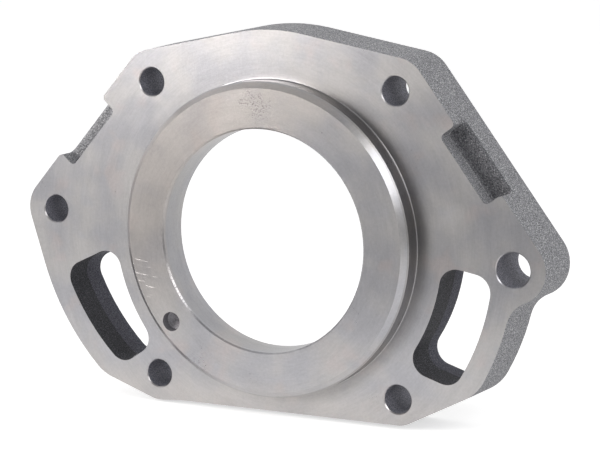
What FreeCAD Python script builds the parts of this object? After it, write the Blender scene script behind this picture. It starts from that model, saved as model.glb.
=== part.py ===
import FreeCAD, Part
import math
import os

import Sketcher
from FreeCAD import Placement, Rotation, Vector

# Pump adapter: one iron casting, machined on both faces.
# Millimetres. X runs to the right, Z up, and the front face looks along -Y.
# The origin is on the bore's axis, in the plane of the front face.

os.makedirs("parts", exist_ok=True)
doc = FreeCAD.newDocument("PumpAdapter")

# Driving dimensions
SIZES = [
    ("plate_thickness", 29.5, "front face to back face"),
    ("rim_draft_angle", 2.2, "degrees, the cast rim widens towards the back"),
    ("bore_diameter", 113.0, "main bore"),
    ("bore_edge", 0.8, "chamfer at the mouth of the bore"),
    ("web_depth", 5.4, "how far the bore runs behind the front face"),
    ("seat_diameter", 152.4, "pump seat in the back face"),
    ("seat_edge", 1.5, "chamfer at the mouth of the seat"),
    ("pilot_diameter", 160.0, "locating ring on the front"),
    ("pilot_height", 12.5, "ring above the front face"),
    ("pilot_chamfer", 3.2, "lead-in of the ring"),
    ("pilot_root", 0.6, "fillet between ring and face"),
    ("bolt_width", 137.5, "four bolts, across"),
    ("bolt_height", 153.0, "four bolts, up and down"),
    ("bolt_hole", 14.5, "four bolt holes"),
    ("ear_reach", 130.0, "ear holes from the bore's axis, across"),
    ("ear_rise", 7.0, "left ear hole above the axis, right one below"),
    ("ear_hole_left", 14.5, "hole in the left ear"),
    ("ear_hole_right", 17.5, "larger hole in the right ear"),
    ("front_edge", 0.5, "chamfer on the bolt and ear holes, front"),
    ("back_edge", 1.0, "chamfer on the bolt and ear holes, back"),
    ("dowel_hole", 10.0, "blind hole in the ring's face"),
    ("dowel_depth", 5.0, "its straight depth"),
    ("dowel_radius", 69.7, "its distance from the axis"),
    ("dowel_angle", 40.35, "degrees below the left of the axis"),
    ("corner_wall", 9.2, "metal round the two upper bolts"),
    ("ear_wall_left", 9.5, "metal round the left ear hole"),
    ("ear_wall_right", 7.8, "metal round the right ear hole"),
    ("foot_wall_left", 7.0, "metal round the lower left bolt"),
    ("foot_wall_right", 6.0, "metal round and below the lower right bolt"),
    ("foot_hollow", 40.0, "radius between the left foot and the bottom edge"),
    ("foot_step", 15.75, "from the lower left bolt to the middle of that radius"),
    ("crown_radius", 100.0, "top of the rim"),
    ("crown_rise", 11.65, "top of the rim above the two upper corners"),
    ("sweep_right_beyond", 1.0, "radius of the right rim beyond the ears' reach"),
    ("sweep_left_x", 14.1, "centre of the left rim, left of the axis"),
    ("sweep_left_z", 15.3, "centre of the left rim, above the axis"),
    ("knee_right", 23.0, "lower right corner"),
    ("knee_right_rise", 24.1, "its centre above the lower right bolt"),
    ("knee_left", 22.0, "lower left corner"),
    ("knee_left_rise", 16.1, "its centre above the lower left bolt"),
    ("neck_radius", 17.0, "hollow between the right rim and the right ear"),
    ("rim_wall_right", 11.0, "between the right slot and the rim"),
    ("rim_wall_left", 12.0, "between the left slot and the rim"),
    ("slot_land", 13.1, "between the ring and each slot"),
    ("slot_corner", 9.0, "corners of both slots"),
    ("slot_right_top", 17.7, "its upper inner corner below the axis"),
    ("slot_right_top_outer", 19.3, "its upper outer corner below the axis"),
    ("slot_right_foot", 21.8, "its lower inner corner above the lower right bolt"),
    ("slot_right_foot_outer", 19.0, "its lower outer corner above the lower right bolt"),
    ("slot_left_top", 22.6, "its upper inner corner below the axis"),
    ("slot_left_top_outer", 29.2, "its upper outer corner below the axis"),
    ("slot_left_foot", 18.2, "its lower inner corner above the lower left bolt"),
    ("slot_left_foot_outer", 13.9, "its lower outer corner above the lower left bolt"),
    ("core_right", 20.5, "depth of the right slot's front core"),
    ("core_left", 17.5, "depth of the left slot's front core"),
    ("core_ridge", 0.8, "how far the slot walls close in where the cores met"),
    ("notch_length", 40.0, "both notches, along the rim"),
    ("notch_inward", 10.0, "both notches, in from the rim"),
    ("notch_depth", 12.0, "both notches, behind the front face"),
    ("notch_draft_angle", 3.0, "degrees, the notch narrows with depth"),
    ("notch_corner", 2.5, "inner corners of the notch"),
    ("notch_floor", 2.0, "fillet round the floor of the notch"),
    ("notch_mouth", 2.5, "rounding where the notch leaves the rim"),
    ("notch_right", 50.8, "middle of the notch from the upper right bolt"),
    ("notch_left", 47.3, "middle of the notch from the upper left bolt"),
]

sheet = doc.addObject("Spreadsheet::Sheet", "Sizes")
for row, (alias, value, note) in enumerate(SIZES, start=1):
    sheet.set(f"A{row}", alias)
    sheet.set(f"B{row}", str(value))
    sheet.set(f"C{row}", note)
    sheet.setAlias(f"B{row}", alias)
doc.recompute()


class Size:
    """A size: its number, and the expression that ties it to the sheet."""

    def __init__(self, value, text):
        self.value = value
        self.text = text

    def joined(self, other, sign, value):
        return Size(value, f"({self.text} {sign} {other.text})")

    def __add__(self, other):
        other = as_size(other)
        return self.joined(other, "+", self.value + other.value)

    def __sub__(self, other):
        other = as_size(other)
        return self.joined(other, "-", self.value - other.value)

    def __mul__(self, other):
        other = as_size(other)
        return self.joined(other, "*", self.value * other.value)

    def __truediv__(self, other):
        other = as_size(other)
        return self.joined(other, "/", self.value / other.value)

    def __neg__(self):
        return Size(-self.value, f"(0 - {self.text})")


def as_size(number):
    if isinstance(number, Size):
        return number
    return Size(float(number), repr(float(number)))


def cell(alias):
    return Size(float(sheet.get(alias)), f"Sizes.{alias}")


def sine(degrees):
    return Size(math.sin(math.radians(degrees.value)), f"sin({degrees.text} * 1 deg)")


def cosine(degrees):
    return Size(math.cos(math.radians(degrees.value)), f"cos({degrees.text} * 1 deg)")


def arctangent(ratio):
    return Size(math.degrees(math.atan(ratio.value)), f"atan({ratio.text})")


def arctangent2(rise, run):
    angle = math.degrees(math.atan2(rise.value, run.value))
    return Size(angle, f"(atan2({rise.text}; {run.text}) / 1 deg)")


def arcsine(ratio):
    return Size(math.degrees(math.asin(ratio.value)), f"(asin({ratio.text}) / 1 deg)")


def smaller(first, second):
    return Size(min(first.value, second.value), f"min({first.text}; {second.text})")


def larger(first, second):
    return Size(max(first.value, second.value), f"max({first.text}; {second.text})")


def square_root(area):
    return Size(math.sqrt(area.value), f"sqrt({area.text})")


def tie(feature, prop, size):
    feature.setExpression(prop, size.text)


# Sketches
def origin_plane(body, role):
    for feature in body.Origin.OriginFeatures:
        if feature.Role == role:
            return feature
    raise ValueError(role)


def new_sketch(body, name, role, offset=None):
    """Sketch on an origin plane, moved along the plane's normal by a size."""
    sketch = body.newObject("Sketcher::SketchObject", name)
    sketch.AttachmentSupport = [(origin_plane(body, role), "")]
    sketch.MapMode = "FlatFace"
    if offset is not None:
        sketch.AttachmentOffset = Placement(Vector(0, 0, offset.value), Rotation())
        tie(sketch, "AttachmentOffset.Base.z", offset)
    return sketch


def dimension(sketch, kind, size, *where):
    """One dimension of a sketch, tied to the sheet."""
    index = sketch.addConstraint(Sketcher.Constraint(kind, *where, size.value))
    name = f"{kind}{index}"
    sketch.renameConstraint(index, name)
    sketch.setExpression(f"Constraints.{name}", size.text)


def place_point(sketch, geometry, point, x=None, y=None):
    if x is not None:
        dimension(sketch, "DistanceX", x, -1, 1, geometry, point)
    if y is not None:
        dimension(sketch, "DistanceY", y, -1, 1, geometry, point)


def add_circle(sketch, x, y, radius):
    circle = Part.Circle(Vector(x.value, y.value, 0), Vector(0, 0, 1), radius.value)
    index = sketch.addGeometry(circle, False)
    place_point(sketch, index, 3, x, y)
    dimension(sketch, "Radius", radius, index)


class Bend:
    """One arc of a rounded outline that is followed anticlockwise.

    A bend with turn 1 bulges outwards and one with turn -1 is hollow. fixed
    names the coordinates of its centre that are dimensioned: a bend that
    touches a neighbour has one less for each contact.
    """

    def __init__(self, x, y, radius, turn=1, touches_next=False, fixed="xy"):
        self.x = x
        self.y = y
        self.radius = radius
        self.turn = turn
        self.touches_next = touches_next
        self.fixed = fixed
        self.centre = Vector(x.value, y.value, 0)
        self.signed = turn * radius.value


def hollow_between(first, second, radius):
    """Hollow bend that touches two bulging ones and takes its place from them."""
    first_reach = first.signed + radius.value
    second_reach = second.signed + radius.value
    step = second.centre - first.centre
    along = (first_reach ** 2 - second_reach ** 2 + step.Length ** 2) / (2 * step.Length)
    aside = math.sqrt(first_reach ** 2 - along ** 2)
    ahead = step * (1 / step.Length)
    centre = first.centre + ahead * along + Vector(ahead.y, -ahead.x, 0) * aside
    x, y = as_size(centre.x), as_size(centre.y)
    return Bend(x, y, radius, turn=-1, touches_next=True, fixed="")


def contact(first, second):
    """Points where the outline leaves one bend and enters the next."""
    step = second.centre - first.centre
    change = second.signed - first.signed
    if first.touches_next:
        normal = step * (1 / change)
        meeting = first.centre - normal * first.signed
        return meeting, meeting
    run = math.sqrt(max(step.Length ** 2 - change ** 2, 1e-6))
    heading = math.atan2(step.y, step.x) - math.atan2(change, run)
    normal = Vector(-math.sin(heading), math.cos(heading), 0)
    return first.centre - normal * first.signed, second.centre - normal * second.signed


def add_outline(sketch, bends):
    """Closed chain of arcs, with a straight run wherever two don't touch."""
    count = len(bends)
    joints = [contact(bends[i], bends[(i + 1) % count]) for i in range(count)]
    arcs = []
    for i, bend in enumerate(bends):
        entry, leaving = joints[i - 1][1], joints[i][0]
        ends = [math.atan2(p.y - bend.centre.y, p.x - bend.centre.x) for p in (entry, leaving)]
        if bend.turn < 0:
            ends.reverse()
        circle = Part.Circle(bend.centre, Vector(0, 0, 1), bend.radius.value)
        arcs.append(sketch.addGeometry(Part.ArcOfCircle(circle, ends[0], ends[1]), False))
    for i, bend in enumerate(bends):
        following = bends[(i + 1) % count]
        leave_end = 2 if bend.turn > 0 else 1
        enter_end = 1 if following.turn > 0 else 2
        next_arc = arcs[(i + 1) % count]
        if bend.touches_next:
            tangent = Sketcher.Constraint("Tangent", arcs[i], leave_end, next_arc, enter_end)
            sketch.addConstraint(tangent)
            continue
        line = sketch.addGeometry(Part.LineSegment(*joints[i]), False)
        sketch.addConstraint(Sketcher.Constraint("Tangent", arcs[i], leave_end, line, 1))
        sketch.addConstraint(Sketcher.Constraint("Tangent", line, 2, next_arc, enter_end))
    for arc, bend in zip(arcs, bends):
        dimension(sketch, "Radius", bend.radius, arc)
        centre_x = bend.x if "x" in bend.fixed else None
        centre_y = bend.y if "y" in bend.fixed else None
        place_point(sketch, arc, 3, centre_x, centre_y)


def add_profile(sketch, corners, arc_at=None):
    """Closed profile of straight runs, except the one at arc_at, a quarter arc."""
    count = len(corners)
    points = [Vector(x.value, y.value, 0) for x, y in corners]
    for i in range(count):
        start, end = points[i], points[(i + 1) % count]
        if i == arc_at:
            centre = Vector(start.x, end.y, 0)
            circle = Part.Circle(centre, Vector(0, 0, 1), abs(end.x - start.x))
            sketch.addGeometry(Part.ArcOfCircle(circle, -math.pi / 2, 0), False)
        else:
            sketch.addGeometry(Part.LineSegment(start, end), False)
    for i in range(count):
        joint = "Tangent" if i + 1 == arc_at else "Coincident"
        sketch.addConstraint(Sketcher.Constraint(joint, i, 2, (i + 1) % count, 1))
    for i, (x, y) in enumerate(corners):
        place_point(sketch, i, 1, x, y)


# Named places on the plate
half_width = cell("bolt_width") / 2
half_height = cell("bolt_height") / 2
bolt_radius = cell("bolt_hole") / 2
left_ear_radius = cell("ear_hole_left") / 2
right_ear_radius = cell("ear_hole_right") / 2
pilot_radius = cell("pilot_diameter") / 2
thickness = cell("plate_thickness")
nothing = as_size(0)

left_ear = (-cell("ear_reach"), cell("ear_rise"))
right_ear = (cell("ear_reach"), -cell("ear_rise"))
sweep_right = cell("ear_reach") + cell("sweep_right_beyond")
sweep_left = cell("ear_reach")
corner = bolt_radius + cell("corner_wall")
crown_top = half_height + corner + cell("crown_rise")
foot_left = bolt_radius + cell("foot_wall_left")
foot_right = bolt_radius + cell("foot_wall_right")


def at_level(centre, distance, z, side):
    """Point at a height on the plate, at a distance from a centre and to one side of it."""
    drop = z - centre[1]
    return centre[0] + square_root(distance * distance - drop * drop) * side, z


# Adapter plate: cast rim, machined faces, ring, bore and seat
plate = doc.addObject("PartDesign::Body", "AdapterPlate")
plate.Label = "adapter_plate"

axis = (nothing, nothing)
left_centre = (-cell("sweep_left_x"), cell("sweep_left_z"))
knee_right_z = cell("knee_right_rise") - half_height
knee_right = at_level(axis, sweep_right - cell("knee_right"), knee_right_z, 1)

# The left knee stays above the place where the rim's arc could run straight to the foot
foot_across = half_width - cell("sweep_left_x")
foot_drop = half_height + cell("sweep_left_z")
foot_inside = sweep_left - foot_left
foot_square = foot_across * foot_across + foot_drop * foot_drop
foot_run = square_root(larger(foot_square - foot_inside * foot_inside, nothing))
last_knee_angle = arctangent2(foot_drop, foot_across) + arctangent2(foot_inside, foot_run) - 93
knee_left_reach = sweep_left - cell("knee_left")
last_knee_z = cell("sweep_left_z") - knee_left_reach * sine(last_knee_angle)
knee_left_z = larger(cell("knee_left_rise") - half_height, last_knee_z)
knee_left = at_level(left_centre, knee_left_reach, knee_left_z, -1)

right_sweep = Bend(nothing, nothing, sweep_right, touches_next=True)
right_lobe = Bend(*right_ear, right_ear_radius + cell("ear_wall_right"))
rim = [
    Bend(half_width, -half_height, foot_right),
    Bend(*knee_right, cell("knee_right"), touches_next=True, fixed="y"),
    right_sweep,
    hollow_between(right_sweep, right_lobe, cell("neck_radius")),
    right_lobe,
    Bend(half_width, half_height, corner),
    Bend(nothing, crown_top - cell("crown_radius"), cell("crown_radius")),
    Bend(-half_width, half_height, corner),
    Bend(*left_ear, left_ear_radius + cell("ear_wall_left")),
    Bend(*left_centre, sweep_left, touches_next=True),
    Bend(*knee_left, cell("knee_left"), fixed="y"),
    Bend(-half_width, -half_height, foot_left),
    Bend(
        cell("foot_step") - half_width,
        -(half_height + foot_right + cell("foot_hollow")),
        cell("foot_hollow"),
        turn=-1,
    ),
]
rim_sketch = new_sketch(plate, "RimSketch", "XZ_Plane")
add_outline(rim_sketch, rim)
slab = plate.newObject("PartDesign::Pad", "Slab")
slab.Profile = rim_sketch
slab.Reversed = True
tie(slab, "Length", thickness)
tie(slab, "TaperAngle", cell("rim_draft_angle"))


# Ring on the front, turned about the bore's axis: its outline from the axis out
ring_sketch = new_sketch(plate, "RingSketch", "YZ_Plane")
ring_front = -cell("pilot_height")
add_profile(
    ring_sketch,
    [
        (nothing, nothing),
        (ring_front, nothing),
        (ring_front, pilot_radius - cell("pilot_chamfer")),
        (ring_front + cell("pilot_chamfer"), pilot_radius),
        (-cell("pilot_root"), pilot_radius),
        (nothing, pilot_radius + cell("pilot_root")),
    ],
    arc_at=4,
)
ring = plate.newObject("PartDesign::Revolution", "Ring")
ring.Profile = ring_sketch
ring.ReferenceAxis = (ring_sketch, ["H_Axis"])
ring.Angle = 360

# Bore through ring and web, opening into the pump seat at the back
bore_radius = cell("bore_diameter") / 2
seat_radius = cell("seat_diameter") / 2
bore_sketch = new_sketch(plate, "BoreSketch", "YZ_Plane")
add_profile(
    bore_sketch,
    [
        (ring_front, nothing),
        (ring_front, bore_radius + cell("bore_edge")),
        (ring_front + cell("bore_edge"), bore_radius),
        (cell("web_depth"), bore_radius),
        (cell("web_depth"), seat_radius),
        (thickness - cell("seat_edge"), seat_radius),
        (thickness, seat_radius + cell("seat_edge")),
        (thickness, nothing),
    ],
)
bore = plate.newObject("PartDesign::Groove", "BoreAndSeat")
bore.Profile = bore_sketch
bore.ReferenceAxis = (bore_sketch, ["H_Axis"])
bore.Angle = 360


# Holes for the bolts and in the ears
def through_holes(name, places):
    sketch = new_sketch(plate, f"{name}Sketch", "XZ_Plane")
    for x, y, radius in places:
        add_circle(sketch, x, y, radius)
    holes = plate.newObject("PartDesign::Pocket", name)
    holes.Profile = sketch
    holes.Type = "ThroughAll"
    return holes


bolt_places = [(half_width * i, half_height * j) for i in (-1, 1) for j in (-1, 1)]
through_holes("BoltHoles", [(*place, bolt_radius) for place in bolt_places])
through_holes("EarHoles", [(*left_ear, left_ear_radius), (*right_ear, right_ear_radius)])


# Kidney slots: cored from both faces, with a ridge where the two cores met
def outer_corner(centre, distance, z, inner_corner, side):
    """Corner of a slot at its outer wall, never nearer the bore's axis than the inner one."""
    across = inner_corner[0] - centre[0]
    lowest = centre[1] - square_root(larger(distance * distance - across * across, nothing))
    return at_level(centre, distance, larger(z, lowest), side)


def slot_bends(side, centre, outer, inner_heights, outer_heights):
    """The first height of each pair is where the outer wall is left anticlockwise."""
    inner = pilot_radius + cell("slot_land")
    bend_radius = smaller(cell("slot_corner"), (outer - inner) * 0.45)
    inside = [at_level(axis, inner + bend_radius, z, side) for z in inner_heights]
    outside = [
        outer_corner(centre, outer - bend_radius, z, corner_inside, side)
        for z, corner_inside in zip(outer_heights, inside)
    ]
    return [
        Bend(*centre, outer, touches_next=True),
        Bend(*outside[0], bend_radius, fixed="y"),
        Bend(*inside[0], bend_radius, touches_next=True, fixed="y"),
        Bend(nothing, nothing, inner, turn=-1, touches_next=True),
        Bend(*inside[1], bend_radius, fixed="y"),
        Bend(*outside[1], bend_radius, touches_next=True, fixed="y"),
    ]


right_slot = slot_bends(
    1,
    axis,
    sweep_right - cell("rim_wall_right"),
    (-cell("slot_right_top"), cell("slot_right_foot") - half_height),
    (-cell("slot_right_top_outer"), cell("slot_right_foot_outer") - half_height),
)
left_slot = slot_bends(
    -1,
    left_centre,
    sweep_left - cell("rim_wall_left"),
    (cell("slot_left_foot") - half_height, -cell("slot_left_top")),
    (cell("slot_left_foot_outer") - half_height, -cell("slot_left_top_outer")),
)


def tapered_pocket(name, bends, depth, taper, from_back=False):
    offset = -thickness if from_back else None
    sketch = new_sketch(plate, f"{name}Sketch", "XZ_Plane", offset)
    add_outline(sketch, bends)
    pocket = plate.newObject("PartDesign::Pocket", name)
    pocket.Profile = sketch
    pocket.Reversed = from_back
    tie(pocket, "Length", depth)
    tie(pocket, "TaperAngle", taper)
    return pocket


def cored_slot(name, bends, front_depth):
    back_depth = thickness - front_depth
    front_taper = arctangent(cell("core_ridge") / front_depth)
    back_taper = arctangent(cell("core_ridge") / back_depth)
    tapered_pocket(f"{name}Front", bends, front_depth, front_taper)
    tapered_pocket(f"{name}Back", bends, back_depth, back_taper, from_back=True)


cored_slot("RightSlot", right_slot, cell("core_right"))
cored_slot("LeftSlot", left_slot, cell("core_left"))


# Notches in the two upper flanks, open to the front face and to the rim
class Flank:
    """Straight flank between an upper bolt and an ear, measured from the bolt."""

    def __init__(self, side, bolt, ear, ear_radius):
        step_x, step_y = ear[0] - bolt[0], ear[1] - bolt[1]
        length = square_root(step_x * step_x + step_y * step_y)
        lean = arcsine((ear_radius - corner) / length)
        self.heading = arctangent2(step_y, step_x) + lean * side
        self.side = side
        self.bolt = bolt

    def point(self, along, out):
        """Place on the plate at a distance along the flank and out from the bolt."""
        x = self.bolt[0] + cosine(self.heading) * along - sine(self.heading) * out * self.side
        y = self.bolt[1] + sine(self.heading) * along + cosine(self.heading) * out * self.side
        return x, y

    def notch_ends(self, middle):
        half = cell("notch_length") / 2
        return middle - half, middle + half

    def notch_bends(self, middle):
        bend_radius = cell("notch_corner")
        start, end = self.notch_ends(middle)
        inner = corner - cell("notch_inward") + bend_radius
        beyond = corner + cell("notch_depth")
        start, end = start + bend_radius, end - bend_radius
        places = [(start, inner), (end, inner), (end, beyond), (start, beyond)]
        if self.side < 0:
            places.reverse()
        return [Bend(*self.point(*place), bend_radius) for place in places]


upper_right = Flank(1, (half_width, half_height), right_ear, right_ear_radius + cell("ear_wall_right"))
upper_left = Flank(-1, (-half_width, half_height), left_ear, left_ear_radius + cell("ear_wall_left"))
flanks = {
    "RightNotch": (upper_right, cell("notch_right")),
    "LeftNotch": (upper_left, cell("notch_left")),
}
for notch_name, (flank, middle) in flanks.items():
    tapered_pocket(notch_name, flank.notch_bends(middle), cell("notch_depth"), cell("notch_draft_angle"))


# Blind dowel hole in the ring's face
dowel_sketch = new_sketch(plate, "DowelSketch", "XZ_Plane", cell("pilot_height"))
dowel_x = -(cell("dowel_radius") * cosine(cell("dowel_angle")))
dowel_z = -(cell("dowel_radius") * sine(cell("dowel_angle")))
add_circle(dowel_sketch, dowel_x, dowel_z, cell("dowel_hole") / 2)
doc.recompute()
dowel = plate.newObject("PartDesign::Hole", "DowelHole")
dowel.Profile = dowel_sketch
dowel.DepthType = "Dimension"
dowel.DrillPoint = "Angled"
tie(dowel, "Diameter", cell("dowel_hole"))
tie(dowel, "Depth", cell("dowel_depth"))
doc.recompute()


# Finishing: fillets in and at the mouth of the notches, chamfers on the holes
def finish(kind, name, edges, prop, size):
    base = plate.Tip
    names = [f"Edge{i}" for i, edge in enumerate(base.Shape.Edges, start=1) if edges(edge)]
    feature = plate.newObject(f"PartDesign::{kind}", name)
    feature.Base = (base, names)
    tie(feature, prop, size)
    doc.recompute()
    return feature


def beside(point, reach):
    """Test for an edge that runs from front to back near a place on the plate."""
    x, y = point[0].value, point[1].value

    def test(edge):
        middle = edge.CenterOfMass
        box = edge.BoundBox
        runs_back = box.YLength > 2 * max(box.XLength, box.ZLength)
        return runs_back and math.hypot(middle.x - x, middle.z - y) < reach

    return test


def any_of(tests):
    return lambda edge: any(test(edge) for test in tests)


def on_floor(flank, middle):
    """Test for the edges round a notch's floor, without the one along the rim."""
    depth = cell("notch_depth").value
    start, end = flank.notch_ends(middle)
    rim_line = [flank.point(along, corner) for along in (start, end)]
    first, last = [Vector(x.value, 0, y.value) for x, y in rim_line]
    along = (last - first).normalize()
    reach = cell("notch_inward").value

    def test(edge):
        box = edge.BoundBox
        if abs(box.YMin - depth) > 0.01 or box.YLength > 0.01:
            return False
        offset = edge.CenterOfMass - first
        offset.y = 0
        run = offset.dot(along)
        inward = (offset - along * run).Length
        return -1 < run < (last - first).Length + 1 and 1 < inward < reach + 1

    return test


floors = any_of([on_floor(flank, middle) for flank, middle in flanks.values()])
finish("Fillet", "NotchFloors", floors, "Radius", cell("notch_floor"))
mouths = [
    beside(flank.point(along, corner), 2.0)
    for flank, middle in flanks.values()
    for along in flank.notch_ends(middle)
]
finish("Fillet", "NotchMouths", any_of(mouths), "Radius", cell("notch_mouth"))


def hole_rims(depth, radii):
    """Test for the round edges of some holes in one face."""
    level = depth.value

    def test(edge):
        curve = edge.Curve
        if not isinstance(curve, Part.Circle) or abs(curve.Center.y - level) > 0.001:
            return False
        return any(abs(curve.Radius - radius.value) < 0.001 for radius in radii)

    return test


hole_radii = (bolt_radius, left_ear_radius, right_ear_radius)
finish("Chamfer", "FrontEdges", hole_rims(nothing, hole_radii), "Size", cell("front_edge"))
finish("Chamfer", "BackEdges", hole_rims(thickness, hole_radii), "Size", cell("back_edge"))


# Checks, then the file of the part
for thing in doc.Objects:
    if "Invalid" in thing.State or "Error" in thing.State:
        raise RuntimeError(f"{thing.Name} failed: {thing.State}")
for body in [plate]:
    shape = body.Shape
    if shape.isNull() or not shape.isValid():
        raise RuntimeError(f"{body.Label} has no valid solid")
    shape.exportStep(f"parts/{body.Label}.step")
    print(body.Label, len(shape.Solids), "solid", round(shape.Volume), "mm3", shape.BoundBox)
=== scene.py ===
import math

import bpy
from mathutils import Matrix, Vector


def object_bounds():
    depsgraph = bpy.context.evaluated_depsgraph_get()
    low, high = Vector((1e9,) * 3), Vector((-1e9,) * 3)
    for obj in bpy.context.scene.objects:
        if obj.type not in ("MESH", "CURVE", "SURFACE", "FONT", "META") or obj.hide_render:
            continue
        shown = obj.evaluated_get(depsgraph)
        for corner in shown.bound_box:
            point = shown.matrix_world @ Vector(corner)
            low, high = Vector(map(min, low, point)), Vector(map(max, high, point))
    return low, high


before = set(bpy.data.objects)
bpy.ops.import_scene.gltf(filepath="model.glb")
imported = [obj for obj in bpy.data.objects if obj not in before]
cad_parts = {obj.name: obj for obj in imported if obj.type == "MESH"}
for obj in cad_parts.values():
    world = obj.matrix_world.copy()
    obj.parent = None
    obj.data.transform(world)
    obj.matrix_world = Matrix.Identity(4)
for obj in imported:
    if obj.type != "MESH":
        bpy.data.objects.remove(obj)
cad_low, cad_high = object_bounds()


# Adapter plate
# One grey iron casting. Its faces, ring and bore are turned bright on a lathe, so the cutter's marks run
# round the axis. Rim, slots and notches keep the sandy skin of the mould, and the drilled holes are dark.
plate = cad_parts["adapter_plate"]


class Signal:
    """An output of a finish's nodes. Arithmetic on it adds Math nodes."""

    def __init__(self, finish, socket):
        self.finish = finish
        self.socket = socket

    def output(self, name):
        """Another output of the same node."""
        return Signal(self.finish, self.socket.node.outputs[name])

    def math(self, operation, *others):
        return self.finish.calculate(operation, self, *others)

    def swing(self, amount):
        """Noise moved from round 0.5 to round 0, and scaled by this amount."""
        return (self - 0.5) * amount

    def __add__(self, other):
        return self.math("ADD", other)

    def __sub__(self, other):
        return self.math("SUBTRACT", other)

    def __rsub__(self, other):
        return self.finish.calculate("SUBTRACT", other, self)

    def __mul__(self, other):
        return self.math("MULTIPLY", other)

    def __truediv__(self, other):
        return self.math("DIVIDE", other)

    def __lt__(self, other):
        return self.math("LESS_THAN", other)

    def __gt__(self, other):
        return self.math("GREATER_THAN", other)

    def __or__(self, other):
        """The larger of the two, so that masks join."""
        return self.math("MAXIMUM", other)

    __radd__ = __add__
    __rmul__ = __mul__


class Finish:
    """The nodes of a material or of the room, with one method that adds any of them."""

    def __init__(self, owner):
        owner.use_nodes = True
        self.tree = owner.node_tree
        self.tree.nodes.clear()

    def node(self, kind, settings=None, sockets=None, output=0):
        made = self.tree.nodes.new(kind)
        for name, value in (settings or {}).items():
            setattr(made, name, value)
        for name, value in (sockets or {}).items():
            if isinstance(value, Signal):
                self.tree.links.new(value.socket, made.inputs[name])
            else:
                made.inputs[name].default_value = value
        return Signal(self, made.outputs[output]) if len(made.outputs) else None

    def calculate(self, operation, *values):
        return self.node("ShaderNodeMath", {"operation": operation}, dict(enumerate(values)))

    def fade(self, value, low, high):
        """0 at low and 1 at high, smooth between."""
        limits = {"Value": value, "From Min": low, "From Max": high}
        return self.node("ShaderNodeMapRange", {"interpolation_type": "SMOOTHSTEP"}, limits)

    def blend(self, amount, first, second):
        return self.node("ShaderNodeMix", {"data_type": "RGBA"}, {0: amount, 6: first, 7: second}, output=2)

    def vector(self, operation, *values):
        return self.node("ShaderNodeVectorMath", {"operation": operation}, dict(enumerate(values)))

    def scaled(self, vector, factor):
        return self.node("ShaderNodeVectorMath", {"operation": "SCALE"}, {0: vector, "Scale": factor})

    def parts(self, vector):
        split = self.node("ShaderNodeSeparateXYZ", None, {0: vector})
        return [split.output(axis) for axis in "XYZ"]

    def joined(self, first, second, third):
        return self.node("ShaderNodeCombineXYZ", None, {0: first, 1: second, 2: third})

    def noise(self, place, size, detail=2.0, roughness=0.5):
        """Cloudy noise round 0.5, with patches of about this size."""
        sockets = {"Vector": place, "Scale": 1.0 / size, "Detail": detail, "Roughness": roughness}
        return self.node("ShaderNodeTexNoise", None, sockets)


# Places on the part in millimetres: x to the right, depth back from the front face, z up, and the radius
# from the bore's axis
MILLIMETRES = 1000.0
iron_finish = bpy.data.materials.new("turned_and_cast_iron")
iron = Finish(iron_finish)
place = iron.scaled(iron.node("ShaderNodeTexCoord").output("Object"), MILLIMETRES)
x, depth, z = iron.parts(place)
radius = (x * x + z * z).math("SQRT")
smooth_normal = iron.node("ShaderNodeNewGeometry").output("Normal")
facing = iron.parts(smooth_normal.output("True Normal"))[1]
front_facing = facing < -0.6
back_facing = facing > 0.6


def distance_from(centre_x, centre_z):
    return ((x - centre_x) * (x - centre_x) + (z - centre_z) * (z - centre_z)).math("SQRT")


# Where tools have cut: both faces, everything inside the ring, and the holes with their edges. A hole is
# given by its centre's x and z and by its reach, which takes in its chamfer.
FRONT_CUT = 1.2
BACK_CUT = 28.0
RING_REACH = 80.9
DOWEL_X, DOWEL_Z, DOWEL_REACH, DOWEL_MOUTH = -53.12, -45.13, 5.3, -12.4
BOLT_X, BOLT_Z, BOLT_REACH = 68.75, 76.5, 8.6
holes = [(-130.0, 7.0, 8.6), (130.0, -7.0, 10.1)]
holes += [(side * BOLT_X, end * BOLT_Z, BOLT_REACH) for side in (-1, 1) for end in (-1, 1)]
in_hole = 0.0
for centre_x, centre_z, reach in holes:
    in_hole = (distance_from(centre_x, centre_z) < reach) | in_hole
in_dowel_hole = (distance_from(DOWEL_X, DOWEL_Z) < DOWEL_REACH) * (depth > DOWEL_MOUTH)
near_front = depth < FRONT_CUT
faces = front_facing * near_front | back_facing * (depth > BACK_CUT)
drilled = in_hole * (1.0 - faces) | in_dowel_hole * 0.6
cast = 1.0 - (faces | (radius < RING_REACH) | in_hole)

# Painted shade in the cored slots and on the right notch's floor, and painted light behind the slots'
# ridges
SLOT_FOOT = -72.0
RIGHT_SLOT_INSIDE, RIGHT_SLOT_HEAD, RIGHT_SLOT_OUTSIDE, RIGHT_RIDGE = 70.0, -8.0, 125.0, 20.5
LEFT_SLOT_INSIDE, LEFT_SLOT_HEAD, LEFT_SLOT_OUTSIDE, LEFT_RIDGE = -66.0, -12.0, 127.5, 17.5
NOTCH_FOOT, NOTCH_DEPTH = 5.0, 9.5
above_slot_foot = z > SLOT_FOOT
right_slot = cast * (x > RIGHT_SLOT_INSIDE) * (z < RIGHT_SLOT_HEAD) * above_slot_foot
right_slot = right_slot * (radius < RIGHT_SLOT_OUTSIDE)
left_slot = cast * (x < LEFT_SLOT_INSIDE) * (z < LEFT_SLOT_HEAD) * above_slot_foot
left_slot = left_slot * (radius < LEFT_SLOT_OUTSIDE)
# Painted light: the slots' back halves behind the ridge are paler, as if lit from behind
backlit_behind_ridge = right_slot * (depth > RIGHT_RIDGE) | left_slot * (depth > LEFT_RIDGE)
# Painted shadow: the right notch's floor is darkened where its left wall shades it from the left lamp
notch_floor_shadow = cast * (x > 0.0) * (z > NOTCH_FOOT) * (facing < -0.5) * (depth > NOTCH_DEPTH)


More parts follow.
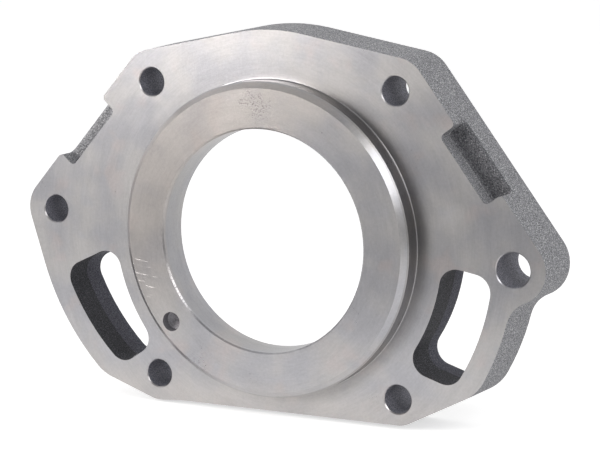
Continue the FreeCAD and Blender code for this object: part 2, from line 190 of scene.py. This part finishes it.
def turned_noise(spacing, arcs, detail=1.0):
    """Noise drawn out round the bore into rings about this far apart in millimetres."""
    across = (radius + depth) / spacing
    return iron.noise(iron.joined(across, x / radius * arcs, z / radius * arcs), 1.0, detail)


# Colour of the cut iron: cool grey with faint warm, pink and blue stains, and the cutter's streaks
COOL_CUT = (0.442, 0.438, 0.462, 1)
WARM_CUT = (0.468, 0.456, 0.456, 1)
PINK_STAIN = (0.505, 0.462, 0.458, 1)
BLUE_STAIN = (0.432, 0.43, 0.455, 1)
clouds = iron.noise(place, size=30.0, detail=3.0)
stains = iron.noise(place, size=17.0, detail=2.0)
mottle = iron.noise(place, size=1.4, detail=3.0, roughness=0.7)
streaks = turned_noise(spacing=0.7, arcs=14.0, detail=3.0)
broad_rings = turned_noise(spacing=4.5, arcs=3.0, detail=2.0)
cut_colour = iron.blend(iron.fade(clouds, 0.38, 0.62), COOL_CUT, WARM_CUT)
cut_colour = iron.blend(iron.fade(stains, 0.54, 0.72) * 0.7, cut_colour, PINK_STAIN)
cut_colour = iron.blend(iron.fade(stains, 0.44, 0.3) * 0.6, cut_colour, BLUE_STAIN)
shade = 0.95 + clouds.swing(0.3) + mottle.swing(0.26) + streaks.swing(0.18) + broad_rings.swing(0.16)

# A pitted patch at the top of the ring, single pores, and a few scratches on the ring's left edge
PATCH_X, PATCH_Z = -1.0, 68.0
PORE_SPACING, PORE_SHARE = 19.0, 0.022
SCRATCHES_X, SCRATCHES_Z = -73.0, -24.0
ragged = iron.noise(place, size=5.0, detail=3.0) * 26.0
pitted = iron.fade(distance_from(PATCH_X, PATCH_Z) + ragged, 25.0, 15.0)
pits = iron.fade(iron.noise(place, size=0.9, detail=2.0, roughness=0.6), 0.5, 0.62) * pitted
pore_distance = iron.node("ShaderNodeTexVoronoi", None, {"Vector": place, "Scale": 1.0 / PORE_SPACING})
pores = pore_distance < PORE_SHARE
along_scratches = iron.joined(x * 0.11, depth, z * 1.1 + x * 0.1)
scratches = iron.fade(iron.noise(along_scratches, size=1.0, detail=1.0), 0.66, 0.72)
scratches = scratches * iron.fade(distance_from(SCRATCHES_X, SCRATCHES_Z), 14.0, 9.0)
shade = shade * (1.0 - pits * 0.42) * (1.0 - pores * 0.3) * (1.0 + scratches * 0.35)

# The top left of the ring is stained. Painted shade darkens the face round the ring's root, most on the
# right, and darkens the bore a little. The plate's foot is paler, partly its own tone and partly a painted
# reflection of the white table.
RING_RADIUS, RING_FRONT = 80.0, -10.0
BORE_REACH, BORE_FRONT = 56.9, -11.5
BROWN_STAIN = (0.455, 0.41, 0.38, 1)
PALE_FOOT_AND_SHEEN = (0.53, 0.505, 0.49, 1)
ROOT_SHADE_COLOUR = (0.33, 0.31, 0.29, 1)
ring_face = (radius < RING_RADIUS) * (depth < RING_FRONT)
ring_stain = ring_face * iron.fade(z - x + clouds * 60.0, 20.0, 110.0)
# Painted shade round the ring's root, strongest on the right side, where the ring shades the face
root_shade = iron.fade(radius + stains * 8.0, 93.0, 84.0) * (1.0 - ring_face) * near_front
root_shade = root_shade * (0.25 + iron.fade(x - z * 0.3, -10.0, 60.0) * 0.75)
# Painted shade: the bore's wall is darkened a little
bore = (radius < BORE_REACH) * (depth > BORE_FRONT)
# Paler towards the foot: partly the plate's own tone, partly a painted reflection of the white table
pale_foot_and_sheen = iron.fade(z + clouds * 24.0, -58.0, -72.0) * front_facing
cut_colour = iron.blend(ring_stain * 0.5, cut_colour, BROWN_STAIN)
cut_colour = iron.blend(pale_foot_and_sheen * 0.6, cut_colour, PALE_FOOT_AND_SHEEN)
cut_colour = iron.blend(root_shade * 0.35, cut_colour, ROOT_SHADE_COLOUR)
shade = shade * (1.0 - ring_stain * 0.06) * (1.0 - root_shade * 0.12) * (1.0 - bore * 0.16)
cut_colour = iron.scaled(cut_colour, shade)

# Colour of the cast skin: bluish grey sand with bright specks. Painted shade darkens it in the slots and on
# the right notch's floor, and painted light makes it paler again behind the slots' ridges
SKIN_DARK, SKIN_PALE, SKIN_SPECK = (0.115, 0.116, 0.126, 1), (0.43, 0.43, 0.452, 1), (0.86, 0.86, 0.87, 1)
HOLLOW_SHADE_DARK, HOLLOW_SHADE_PALE, HOLLOW_SHADE_SPECK = (0.022, 0.022, 0.026, 1), (0.085, 0.085, 0.097, 1), (0.36, 0.36, 0.39, 1)
BACKLIT_DARK, BACKLIT_PALE = (0.055, 0.055, 0.07, 1), (0.19, 0.19, 0.23, 1)
HOLE_DARK, HOLE_PALE = (0.115, 0.115, 0.135, 1), (0.36, 0.36, 0.42, 1)
sand = iron.noise(place, size=0.65, detail=3.0, roughness=0.7)
specks = iron.fade(iron.noise(place, size=0.6, detail=1.0), 0.6, 0.68)
grains = iron.fade(sand, 0.34, 0.66)
skin_colour = iron.blend(specks * 0.75, iron.blend(grains, SKIN_DARK, SKIN_PALE), SKIN_SPECK)
# Painted shade: a darker copy of the skin for the slots and the notch floor, and a paler painted-light copy
# behind the ridges
hollow_shade_colour = iron.blend(grains, HOLLOW_SHADE_DARK, HOLLOW_SHADE_PALE)
hollow_shade_colour = iron.blend(backlit_behind_ridge, hollow_shade_colour, iron.blend(grains, BACKLIT_DARK, BACKLIT_PALE))
hollow_shade_colour = iron.blend(specks * 0.4, hollow_shade_colour, HOLLOW_SHADE_SPECK)
skin_colour = iron.blend(right_slot | left_slot | notch_floor_shadow * 0.6, skin_colour, hollow_shade_colour)
hole_colour = iron.blend(iron.fade(sand, 0.36, 0.66), HOLE_DARK, HOLE_PALE)

# Cut iron is smooth metal. The skin and the drilled walls are rougher, and less of a mirror.
colour = iron.blend(cast, cut_colour, skin_colour)
colour = iron.blend(drilled * 0.95, colour, hole_colour)
roughness = 0.3 + clouds.swing(0.1) + mottle.swing(0.06) + pits * 0.15 + cast * 0.45 + drilled * 0.3
metallic = 1.0 - cast * 0.55 - drilled * 0.6

# The cutter's fine rings lean the surface to and fro across them. Sand, scratches and pits stand on that.
LEAN = 0.55
GRAIN_STRENGTH, GRAIN_HEIGHT = 0.8, 0.0004
lay = turned_noise(spacing=0.019, arcs=170.0)
along_rings = iron.joined((0.0 - z) / radius, 0.0, x / radius)
across_rings = iron.vector("CROSS_PRODUCT", smooth_normal, along_rings)
lean = iron.scaled(across_rings, lay.swing(LEAN) * (1.0 - (cast | drilled)))
ringed_normal = iron.vector("NORMALIZE", iron.vector("ADD", smooth_normal, lean))
sandy = cast | drilled * 0.5
relief = (sand + specks * 0.2) * sandy + scratches * 0.1 - pits * 0.1
grain = iron.node(
    "ShaderNodeBump",
    None,
    {"Strength": GRAIN_STRENGTH, "Distance": GRAIN_HEIGHT, "Height": relief, "Normal": ringed_normal},
)
iron_surface = iron.node(
    "ShaderNodeBsdfPrincipled",
    None,
    {"Base Color": colour, "Roughness": roughness, "Metallic": metallic, "Normal": grain},
)
iron.node("ShaderNodeOutputMaterial", None, {"Surface": iron_surface})
for slot in plate.material_slots:
    slot.material = iron_finish


# Table
# A matt white table that the part stands on. It runs back into the white background, and its front edge
# is about 0.2 m before the part.
TABLE_SIDE = 3.0
TABLE_FRONT = -0.22
TABLE_GAP = 0.0002
TABLE_WHITE = (0.74, 0.74, 0.74, 1)
table_mesh = bpy.data.meshes.new("table")
table_corners = [
    (-TABLE_SIDE, TABLE_FRONT, 0.0),
    (TABLE_SIDE, TABLE_FRONT, 0.0),
    (TABLE_SIDE, TABLE_SIDE, 0.0),
    (-TABLE_SIDE, TABLE_SIDE, 0.0),
]
table_mesh.from_pydata(table_corners, [], [(0, 1, 2, 3)])
table = bpy.data.objects.new("table", table_mesh)
table.location = (0.0, 0.0, cad_low.z - TABLE_GAP)
bpy.context.scene.collection.objects.link(table)

# A glow that only the camera and the metal's reflections see, so that the table is white in both
SEEN_GLOW = 0.6
MIRRORED_GLOW = 0.5
white_finish = bpy.data.materials.new("white_table")
white = Finish(white_finish)
seen = white.node("ShaderNodeLightPath").output("Is Camera Ray")
mirrored = seen.output("Is Glossy Ray") | seen.output("Is Transmission Ray")
glow = seen * SEEN_GLOW + mirrored * MIRRORED_GLOW
table_glow = white.node("ShaderNodeEmission", None, {"Strength": glow})
matt = white.node("ShaderNodeBsdfDiffuse", None, {"Color": TABLE_WHITE})
table_surface = white.node("ShaderNodeAddShader", None, {0: table_glow, 1: matt})
white.node("ShaderNodeOutputMaterial", None, {"Surface": table_surface})
table_mesh.materials.append(white_finish)


# Room and lamps
# A white room with a large soft lamp on the left and a weaker one on the right. The metal mirrors it
# greyer on the camera's side, and the camera sees it as plain white.
ROOM_LIGHT = 0.55
ROOM_GREY = 0.68
world = bpy.data.worlds.new("white_room")
room = Finish(world)
ray = room.node("ShaderNodeLightPath").output("Is Camera Ray")
sideways, backward = room.parts(room.node("ShaderNodeTexCoord").output("Generated"))[:2]
grey = room.fade(backward, 0.0, -0.5) * room.fade(sideways, -0.75, -0.4) * ROOM_GREY
straight = ray | ray.output("Is Transmission Ray")
glossy = ray.output("Is Glossy Ray")
room_light = ROOM_LIGHT + straight * (1.0 - ROOM_LIGHT) + glossy * (1.0 - ROOM_LIGHT - grey)
room_glow = room.node("ShaderNodeBackground", None, {"Color": (1, 1, 1, 1), "Strength": room_light})
room.node("ShaderNodeOutputWorld", None, {"Surface": room_glow})
bpy.context.scene.world = world


def soft_lamp(name, stand, width, height, watts, tint):
    """A soft lamp that faces the part."""
    light = bpy.data.lights.new(name, "AREA")
    light.shape = "RECTANGLE"
    light.size = width
    light.size_y = height
    light.energy = watts
    light.color = tint
    lamp = bpy.data.objects.new(name, light)
    lamp.location = stand
    lamp.rotation_mode = "QUATERNION"
    lamp.rotation_quaternion = (-Vector(stand)).to_track_quat("-Z", "Y")
    bpy.context.scene.collection.objects.link(lamp)


soft_lamp(
    "left_lamp", stand=(-0.82, -0.99, 0.4), width=0.8, height=0.56, watts=11.2, tint=(1.0, 0.968, 0.935)
)
soft_lamp("right_lamp", stand=(0.72, -0.5, 0.5), width=0.36, height=0.5, watts=2.3, tint=(1.0, 1.0, 1.0))


# Camera
# A long lens a little above the part and to its right, as in the photograph, aimed just right of the
# bore's axis and rolled by a degree.
AZIMUTH, ELEVATION, ROLL = map(math.radians, (27.805, 9.64, -0.897))
DISTANCE = 1.083
SENSOR_WIDTH = 36.0
FOCAL_LENGTH = 130.23
aim = Vector((0.01581, 0.0, 0.00762))
back = Vector((math.sin(AZIMUTH), -math.cos(AZIMUTH), math.tan(ELEVATION))).normalized()
level = Vector((math.cos(AZIMUTH), math.sin(AZIMUTH), 0.0))
upright = back.cross(level)
right = level * math.cos(ROLL) + upright * math.sin(ROLL)
up = upright * math.cos(ROLL) - level * math.sin(ROLL)
lens = bpy.data.cameras.new("camera")
lens.sensor_width = SENSOR_WIDTH
lens.lens = FOCAL_LENGTH
camera = bpy.data.objects.new("camera", lens)
turn = Matrix((right, up, back)).transposed().to_4x4()
camera.matrix_world = Matrix.Translation(aim + back * DISTANCE) @ turn
bpy.context.scene.collection.objects.link(camera)
bpy.context.scene.camera = camera
bpy.context.scene.view_settings.view_transform = "Standard"
